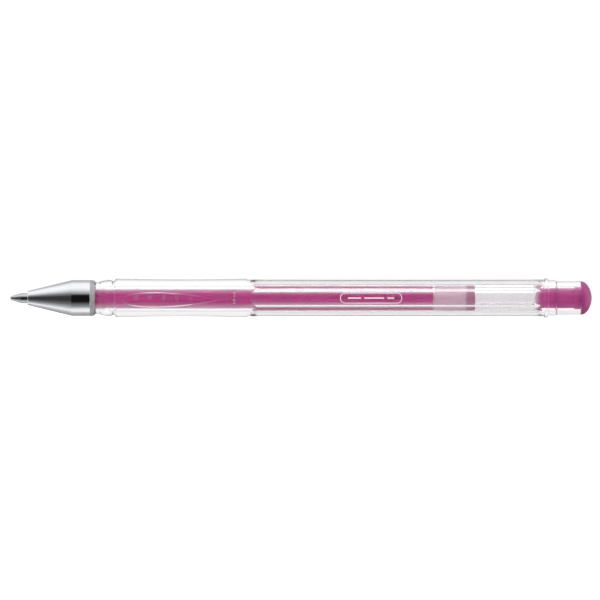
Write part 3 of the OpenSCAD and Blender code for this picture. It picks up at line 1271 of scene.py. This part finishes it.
@dataclass
class Refill:
    """The tube, the ink in it and the follower behind the ink."""

    tube_start: float = -55.70
    tube_end: float = 56.95
    tube_r: float = 2.6
    bore_r: float = 2.1
    corner: float = 0.1
    overlap: float = 0.02
    stem_end: float = -51.70
    ink_end: float = 32.33
    rim: float = 42.48
    meniscus: float = 1.7
    meniscus_steps: int = 16
    travel: float = 80.0

    def tube(self) -> Piece:
        """Makes the tube."""
        front = [
            (self.tube_start, self.bore_r + 0.05),
            (self.tube_start, self.tube_r - self.corner),
            (self.tube_start + self.corner, self.tube_r),
        ]
        back = [
            (self.tube_end - self.corner, self.tube_r),
            (self.tube_end, self.tube_r - self.corner),
            (self.tube_end, self.bore_r + 0.06),
            (self.tube_end - 0.06, self.bore_r),
        ]
        outer = straight(self.tube_r, self.tube_start + 0.5, self.tube_end - 0.5, 40)
        inner = straight(self.bore_r, self.tube_end - 0.5, self.tube_start + 0.5, 40)
        mouth = [(self.tube_start + 0.05, self.bore_r)]
        tube = Bench.turn("refill_tube_wall", front + outer + back + inner + mouth)
        Bench.smooth(tube, 50.0)
        return tube

    def ink(self) -> Piece:
        """Makes the ink, which wets the wall of the tube."""
        r = self.bore_r + self.overlap
        start, end = self.stem_end + 0.02, self.ink_end - 0.01
        outline = [(start, 0.0), (start, r - 0.05), (start + 0.05, r)]
        outline += straight(r, self.stem_end + 0.5, self.ink_end - 0.5, 60)
        outline += [(self.ink_end - 0.15, r), (end, r - 0.15), (end, 0.0)]
        ink = Bench.turn("ink_fill", outline, closed=False)
        Bench.smooth(ink, 40.0)
        return ink

    def follower(self) -> Piece:
        """Makes the follower with its hollow rear face."""
        r = self.bore_r + 0.5 * self.overlap
        outline = [(self.ink_end, 0.0), (self.ink_end, r - 0.15), (self.ink_end + 0.15, r)]
        outline += straight(r, self.ink_end + 0.5, self.rim - 0.1, 24)
        outline += [(self.rim, r - 0.04), (self.rim, r - 0.1)]
        mouth = r - 0.12
        for i in range(self.meniscus_steps + 1):
            t = math.pi / 2 * i / self.meniscus_steps
            outline.append((self.rim - self.meniscus * math.sin(t), mouth * math.cos(t)))
        follower = Bench.turn("follower_plug", outline, closed=False)
        Bench.smooth(follower, 50.0)
        return follower

    def build(self) -> None:
        """Builds and dresses the three pieces."""
        plastic = TubePlastic().build("tube_plastic")
        Bench.dress(self.tube(), plastic, Body.REFILL, Slot.TUBE_PLASTIC, ["refill_tube"])
        ink = self.ink()
        gel = GelInk().build("gel_ink")
        Bench.dress(ink, gel, Body.REFILL, Slot.GEL_INK, ["ink_column"])
        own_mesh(ink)
        grease = FollowerGrease().build("follower_grease")
        slot = Slot.FOLLOWER_GREASE
        Bench.dress(self.follower(), grease, Body.FOLLOWER, slot, ["follower_gel"])


@dataclass
class WritingPoint:
    """The turned steel point and the ball in its socket."""

    lip: float = -70.8
    lip_r: float = 0.475
    shoulder: float = -68.26
    body_r: float = 1.2
    rear: float = -60.0
    chamber: float = -68.1
    chamber_r: float = 0.62
    capillary_r: float = 0.2
    ball_x: float = -70.65
    ball_r: float = 0.35
    ball_play: float = 0.008

    def point(self) -> Piece:
        """Makes the point."""
        outside = [
            (self.lip, self.ball_r - 0.015),
            (self.lip, self.lip_r - 0.03),
            (self.lip + 0.04, self.lip_r),
            (self.lip + 0.42, self.lip_r + 0.11),
            (self.shoulder - 0.2, self.body_r - 0.07),
            (self.shoulder, self.body_r),
        ]
        outside += straight(self.body_r, self.shoulder + 0.3, self.rear - 0.4, 12)
        outside += [
            (self.rear - 0.1, self.body_r),
            (self.rear, self.body_r - 0.1),
            (self.rear, self.chamber_r),
        ]
        inside = [
            (self.chamber, self.chamber_r),
            (self.chamber - 0.2, self.capillary_r),
            (self.ball_x + 0.34, self.capillary_r),
            (self.ball_x + 0.2, 0.31),
            (self.ball_x, self.ball_r + self.ball_play),
        ]
        point = Bench.turn("point_body", soften(outside, 0.03) + inside)
        Bench.smooth(point, 40.0)
        return point

    def ball(self) -> Piece:
        """Makes the ball, ground round from a rough blank."""
        Bench.clear_selection()
        bpy.ops.mesh.primitive_ico_sphere_add(
            subdivisions=4, radius=self.ball_r * MM, location=(0, 0, 0)
        )
        ball = Bench.take("writing_ball")
        with Bench.editing():
            bpy.ops.mesh.subdivide(number_cuts=1, smoothness=1.0)
            bpy.ops.transform.tosphere(value=1.0)
            bpy.ops.transform.translate(value=(self.ball_x * MM, 0, 0))
        Bench.smooth(ball, 60.0, weighted=False)
        return ball

    def build(self) -> None:
        """Builds and dresses the point and the ball."""
        steel = TurnedSteel().build("point_steel")
        Bench.dress(self.point(), steel, Body.REFILL, Slot.POINT_STEEL, ["point_tip"])
        grey = TurnedSteel(colour=(0.3, 0.31, 0.33), gloss=0.12, ring_waves=3000.0)
        Bench.dress(self.ball(), grey.build("carbide"), Body.BALL, Slot.CARBIDE, ["ball"])


@dataclass
class PointSpring:
    """The fine spring: a coil seated on the holder and a straight pin that reaches the ball."""

    pin_start: float = -70.295
    coil_start: float = -67.6
    coil_end: float = -60.08
    rear: float = -60.0
    wire_r: float = 0.08
    corner: float = 0.02
    coil_r: float = 0.42
    turns: int = 13
    steps: int = 20
    sides: int = 10
    press: float = 0.04

    def pin(self) -> Piece:
        """Makes the straight front end."""
        end = self.coil_start + 0.05
        outline = [
            (self.pin_start, 0.0),
            (self.pin_start, self.wire_r - self.corner),
            (self.pin_start + self.corner, self.wire_r),
            (end - self.corner, self.wire_r),
            (end, self.wire_r - self.corner),
            (end, 0.0),
        ]
        return Bench.turn("spring_pin", outline, 16, closed=False)

    def wind(self, points: np.ndarray) -> np.ndarray:
        """Winds the first turn out from the axis.

        Args:
            points: The even coil's points in millimetres, ring after ring of wire.

        Returns:
            The points of the finished coil.
        """
        rings = points.reshape(-1, self.sides, 3)
        middles = rings.mean(axis=1, keepdims=True)
        share = 1.0 - np.minimum(1.0, np.arange(len(rings)) / self.steps)
        rings[:, :, 1:] -= middles[:, :, 1:] * share[:, None, None]
        return rings.reshape(-1, 3)

    def coil(self) -> Piece:
        """Makes the coil from one ring of wire."""
        Bench.clear_selection()
        bpy.ops.mesh.primitive_circle_add(
            vertices=self.sides,
            radius=self.wire_r * MM,
            fill_type="NOTHING",
            location=(0, 0, 0),
            rotation=(math.pi / 2, 0, 0),
        )
        coil = Bench.take("spring_coil")
        bpy.ops.object.transform_apply(location=True, rotation=True, scale=True)
        with Bench.editing():
            bpy.ops.transform.translate(value=(self.coil_start * MM, 0, self.coil_r * MM))
        lead = (self.coil_end - self.coil_start) / self.turns
        Bench.screw(coil, lead, self.turns, self.steps)
        Bench.reshape(coil, self.wind)
        return coil

    def build(self) -> None:
        """Builds and dresses the spring."""
        coil, pin = self.coil(), self.pin()
        Bench.clear_selection()
        for piece in (pin, coil):
            piece.select_set(True)
        bpy.context.view_layer.objects.active = coil
        bpy.ops.object.join()
        with Bench.editing():
            bpy.ops.mesh.fill_holes(sides=0)
            bpy.ops.mesh.normals_make_consistent(inside=False)
        Bench.smooth(coil, 50.0, weighted=False)
        wire = TurnedSteel(colour=(0.7, 0.71, 0.74), gloss=0.17).build("spring_wire")
        Bench.dress(coil, wire, Body.SPRING, Slot.SPRING_WIRE, ["point_spring"])
        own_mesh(coil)


@dataclass
class HiddenWorks:
    """CAD nodes whose shape stays: the holder and the check ball."""

    finishes: dict[str, object] = field(
        default_factory=lambda: {
            "point_holder": PlainPlastic(),
            "check_ball": TurnedSteel(colour=(0.66, 0.67, 0.7), gloss=0.1),
        }
    )

    def build(self, nodes: dict[str, Piece]) -> None:
        """Dresses the nodes.

        Args:
            nodes: The frame's nodes by name.
        """
        for name, finish in self.finishes.items():
            material = finish.build(f"{name}_finish")
            data = nodes[name].data
            for place in range(len(data.materials)):
                data.materials[place] = material
            LOG.info("%s: kept from the frame", name)


# ---------------------------------------------------------------- studio


@dataclass(frozen=True)
class Room:
    """Light round the pen, below and above its level.

    Each stop is an angle from the viewer's side in degrees, with its brightness.
    """

    lower: Sequence[Pair]
    upper: Sequence[Pair]

    def light(self, bench: NodeBench, above: Socket, angle: Socket) -> Socket:
        """Works out the light from one direction.

        Args:
            bench: The world's bench.
            above: 0 below the pen, 1 above it.
            angle: The angle, as a share of half a turn.

        Returns:
            The light as a colour.
        """
        low, high = (
            bench.ramp(angle, [(degrees / 180, (level,) * 3) for degrees, level in stops])
            for stops in (self.lower, self.upper)
        )
        return bench.fade(above, low, high)


MIRRORED = Room(
    lower=((0, 0.006), (24, 0.008), (39, 0.13), (60, 0.36), (75, 0.95), (92, 1.1))
    + ((113, 0.5), (142, 0.38), (165, 0.4), (180, 0.7)),
    upper=((0, 0.006), (19, 0.008), (26, 0.25), (39, 0.55), (53, 0.9), (68, 1.1))
    + ((102, 1.1), (133, 0.55), (165, 0.5), (180, 0.7)),
)
SLOPED = Room(
    lower=((0, 0.035), (18, 0.045), (42, 0.16), (68, 0.5), (88, 1.05))
    + ((113, 0.6), (142, 0.4), (165, 0.4), (180, 0.7)),
    upper=((0, 0.035), (14, 0.05), (32, 0.25), (52, 0.75), (70, 1.1))
    + ((102, 1.1), (133, 0.55), (165, 0.5), (180, 0.7)),
)
INNER = Room(
    lower=((0, 0.04), (40, 0.08), (60, 0.4), (95, 0.5), (165, 0.8), (180, 1.0)),
    upper=((0, 0.04), (40, 0.08), (60, 0.4), (80, 0.8), (95, 2.6), (165, 2.6), (180, 1.1)),
)
THROUGH = Room(
    lower=((0, 0.08), (30, 0.1), (60, 0.45), (90, 0.5))
    + ((115, 0.75), (140, 0.95), (165, 1.0), (180, 1.14)),
    upper=((0, 0.08), (30, 0.1), (60, 0.6), (90, 0.65), (112, 1.05), (180, 1.14)),
)
SKY = ((0.0, 0.95), (0.35, 1.0), (0.5, 1.15), (0.7, 1.35), (1.0, 1.5))


@dataclass
class Studio:
    """Pale floor, soft light, the room round the pen and the camera.

    The floor's reach, the lamp's size and its place are in metres.
    """

    floor_z: float = -4.8
    floor_reach: float = 2.6
    lens: float = 300.0
    sensor: float = 36.0
    view_width: float = 146.52
    aim_x: float = -0.25
    aim_z: float = -0.476
    end_light: float = 0.9
    inner_gain: float = 2.1
    backdrop: float = 1.02
    deep: float = 3.5
    lamp_size: Pair = (0.5, 0.35)
    lamp_power: float = 0.9
    lamp_place: Triple = (0.02, 0.05, 0.5)
    lamp_tilt: float = -6.0
    bounces: int = 32

    def floor(self) -> None:
        """Lays the floor under the pen."""
        Bench.clear_selection()
        size = 2 * self.floor_reach
        bpy.ops.mesh.primitive_grid_add(x_subdivisions=8, y_subdivisions=8, size=size)
        floor = bpy.context.active_object
        floor.name = "studio_floor"
        floor.location = (0, 0, self.floor_z * MM)
        floor.data.materials.append(StudioPaper().build("studio_paper"))
        floor.visible_diffuse = False
        floor.visible_glossy = False
        floor.visible_transmission = False

    def light(self) -> None:
        """Hangs one large soft light over the pen."""
        data = bpy.data.lights.new("overhead", "AREA")
        data.shape = "RECTANGLE"
        data.size, data.size_y = self.lamp_size
        data.energy = self.lamp_power
        lamp = bpy.data.objects.new("overhead", data)
        lamp.location = self.lamp_place
        lamp.rotation_euler = (math.radians(self.lamp_tilt), 0, 0)
        lamp.visible_glossy = False
        lamp.visible_transmission = False
        bpy.context.scene.collection.objects.link(lamp)

    def mirrored(self, bench: NodeBench, above: Socket, angle: Socket, x: Socket) -> Socket:
        """Works out the light that outer surfaces mirror.

        Args:
            bench: The world's bench.
            above: 0 below the pen, 1 above it.
            angle: The angle from the viewer's side, as a share of half a turn.
            x: The direction's part along the pen.

        Returns:
            The light, softer where it comes aslant and even at the pen's ends.
        """
        along = bench.math("ABSOLUTE", x)
        square, sloped = (room.light(bench, above, angle) for room in (MIRRORED, SLOPED))
        sides = bench.fade(bench.step(along, 0.15, 0.45), square, sloped)
        ends = bench.math("MULTIPLY", bench.step(along, 0.7, 0.9), self.end_light)
        return bench.combine("ADD", sides, ends)

    def scattered(self, bench: NodeBench, z: Socket, passed: Socket) -> Socket:
        """Works out the light that dull surfaces gather.

        Args:
            bench: The world's bench.
            z: The direction's height.
            passed: 1 where the ray came through plastic.

        Returns:
            The light, raised inside plastic.
        """
        height = bench.math("MULTIPLY_ADD", z, 0.5, 0.5)
        sky = bench.ramp(height, [(at, (level,) * 3) for at, level in SKY])
        node = bench.add("ShaderNodeVectorMath", operation="SCALE")
        bench.join(sky, node.inputs[0])
        gain = bench.math("MULTIPLY_ADD", passed, self.inner_gain - 1.0, 1.0)
        bench.join(gain, node.inputs["Scale"])
        return node.outputs[0]

    def surroundings(self) -> None:
        """Sets the room: white behind the pen, darker towards the viewer for what mirrors it."""
        world = bpy.data.worlds.new("studio")
        world.use_nodes = True
        bpy.context.scene.world = world
        bench = NodeBench(world.node_tree)
        _, (x, y, z) = bench.place("Generated")
        height, nearness = bench.math("ABSOLUTE", z), bench.math("MULTIPLY", y, -1.0)
        angle = bench.math("DIVIDE", bench.math("ARCTAN2", height, nearness), math.pi)
        above = bench.step(z, -0.12, 0.08)
        ray = bench.add("ShaderNodeLightPath").outputs
        passed = bench.math("GREATER_THAN", ray["Transmission Depth"], 0.5)
        deep = bench.math("GREATER_THAN", ray["Transmission Depth"], self.deep)
        bounced = bench.math("GREATER_THAN", ray["Glossy Depth"], 0.5)
        dull = bench.math("GREATER_THAN", ray["Diffuse Depth"], 0.5)
        outer = self.mirrored(bench, above, angle, x)
        light = bench.fade(passed, outer, THROUGH.light(bench, above, angle))
        inner = INNER.light(bench, above, angle)
        light = bench.fade(bench.math("MULTIPLY", deep, bounced), light, inner)
        light = bench.fade(dull, light, self.scattered(bench, z, passed))
        light = bench.fade(ray["Is Camera Ray"], light, (self.backdrop,) * 3)
        background = bench.add("ShaderNodeBackground")
        output = bench.add("ShaderNodeOutputWorld")
        bench.join(light, background.inputs["Color"])
        bench.join(background.outputs[0], output.inputs["Surface"])

    def camera(self) -> None:
        """Sets the camera level with the pen, square to it and far off."""
        data = bpy.data.cameras.new("viewer")
        data.lens = self.lens
        data.sensor_width = self.sensor
        data.clip_start, data.clip_end = 0.01, 20.0
        camera = bpy.data.objects.new("viewer", data)
        distance = self.view_width * MM * self.lens / self.sensor
        camera.location = (self.aim_x * MM, -distance, self.aim_z * MM)
        camera.rotation_euler = (math.pi / 2, 0, 0)
        bpy.context.scene.collection.objects.link(camera)
        bpy.context.scene.camera = camera

    def build(self) -> None:
        """Sets up the whole studio."""
        self.floor()
        self.light()
        self.surroundings()
        self.camera()
        scene = bpy.context.scene
        scene.view_settings.view_transform = "Standard"
        scene.cycles.max_bounces = self.bounces
        scene.cycles.transmission_bounces = self.bounces
        scene.cycles.glossy_bounces = self.bounces


def main() -> None:
    """Loads the frame, builds every sub-assembly, dresses the kept nodes and sets up the studio.
    """
    logging.basicConfig(level=logging.INFO, format="%(name)s %(message)s")
    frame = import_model()
    pen = (Barrel(), PrintMark(), NoseCone(), EndPlug(), Refill(), WritingPoint(), PointSpring())
    for part in pen:
        part.build()
    HiddenWorks().build(frame["nodes"])
    Studio().build()


if __name__ == "__main__":
    main()
